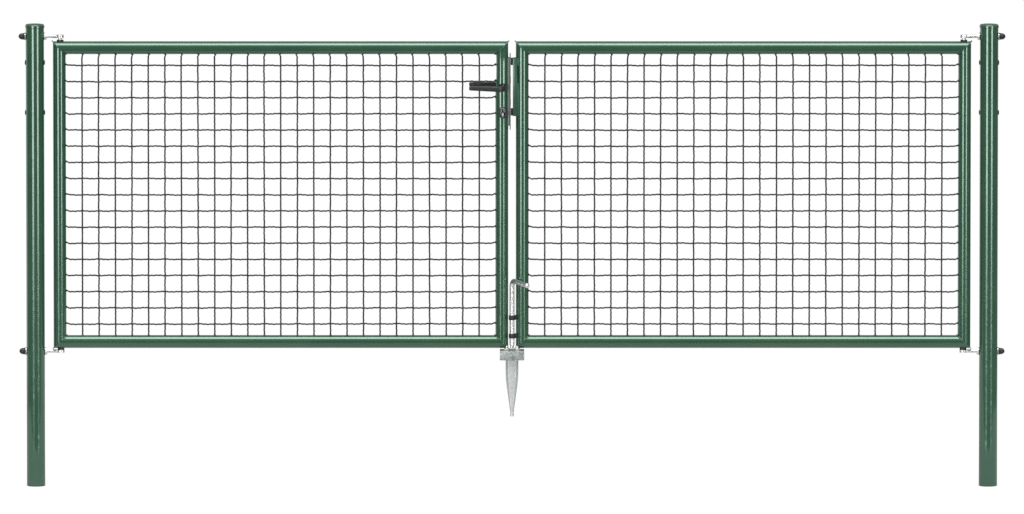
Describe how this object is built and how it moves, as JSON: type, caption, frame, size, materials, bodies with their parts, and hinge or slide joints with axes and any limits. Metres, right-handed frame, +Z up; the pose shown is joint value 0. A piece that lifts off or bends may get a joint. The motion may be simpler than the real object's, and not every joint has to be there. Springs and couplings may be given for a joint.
{
  "type": "double mesh garden gate",
  "caption": "Double leaf garden gate of mitred round tube with woven wire mesh, hung on eyebolts between round posts, with lever lock, drop bolt and ground socket.",
  "frame": {"origin": "middle of the left post's foot", "axes": "+X from the left post to the right post, +Y away from the side of the stop screws, +Z up along the posts"},
  "size_m": [3.196, 0.1882, 1.507],
  "materials": {
    "green_paint": "glossy moss green powder coat",
    "cap_paint": "glossy moss green",
    "mesh_wire": "dark grey green coated wire",
    "black_plastic": "satin black",
    "black_lever": "satin black",
    "rubber": "matt black",
    "zinc": "bright zinc plate",
    "steel": "brushed",
    "galvanised": "galvanised sheet"
  },
  "bodies": {
    "posts": {"left_post": "green_paint", "right_post": "green_paint", "left_cap": "cap_paint", "right_cap": "cap_paint", "post_plugs": "black_plastic", "left_upper_eyebolt": "zinc", "left_lower_eyebolt": "zinc", "right_upper_eyebolt": "zinc", "right_lower_eyebolt": "zinc", "hinge_washers": "zinc", "hinge_nuts": "zinc", "cap_nuts": "black_plastic", "ground_socket": "galvanised", "ground_spike": "galvanised", "leaf_stops": "zinc"},
    "left_leaf": {"left_top_rail": "green_paint", "left_bottom_rail": "green_paint", "left_hinge_stile": "green_paint", "left_lock_stile": "green_paint", "left_mesh_outer": "mesh_wire", "left_mesh_inner": "mesh_wire", "left_hinge_pins": "zinc", "left_hinge_bushes": "black_plastic", "lock_case": "steel", "lock_faceplate": "steel", "lock_cylinder": "steel", "lever_roses": "black_plastic"},
    "right_leaf": {"right_top_rail": "green_paint", "right_bottom_rail": "green_paint", "right_hinge_stile": "green_paint", "right_keep_stile": "green_paint", "right_mesh_outer": "mesh_wire", "right_mesh_inner": "mesh_wire", "right_hinge_pins": "zinc", "right_hinge_bushes": "black_plastic", "keep_channel": "green_paint", "keep_buffers": "rubber", "bolt_guides": "black_plastic"},
    "levers": {"front_lever": "black_lever", "back_lever": "black_lever", "lever_spindle": "zinc"},
    "bolt": {"drop_bolt": "zinc"}
  },
  "joints": [
    {"name": "left_leaf_swing", "type": "hinge", "parent": "posts", "child": "left_leaf", "pos_m": [0.082, 0, 0.45], "axis": [0, 0, 1], "range_deg": [0, 100]},
    {"name": "right_leaf_swing", "type": "hinge", "parent": "posts", "child": "right_leaf", "pos_m": [3.008, 0, 0.45], "axis": [0, 0, -1], "range_deg": [0, 100]},
    {"name": "lever_turn", "type": "hinge", "parent": "left_leaf", "child": "levers", "pos_m": [1.515, 0, 1.303], "axis": [0, -1, 0], "range_deg": [0, 40], "stiffness_Nm_per_rad": 1, "springref_deg": -22.92},
    {"name": "bolt_slide", "type": "slide", "parent": "right_leaf", "child": "bolt", "axis": [0, 0, 1], "range_m": [-0.03, 0.1]}
  ]
}
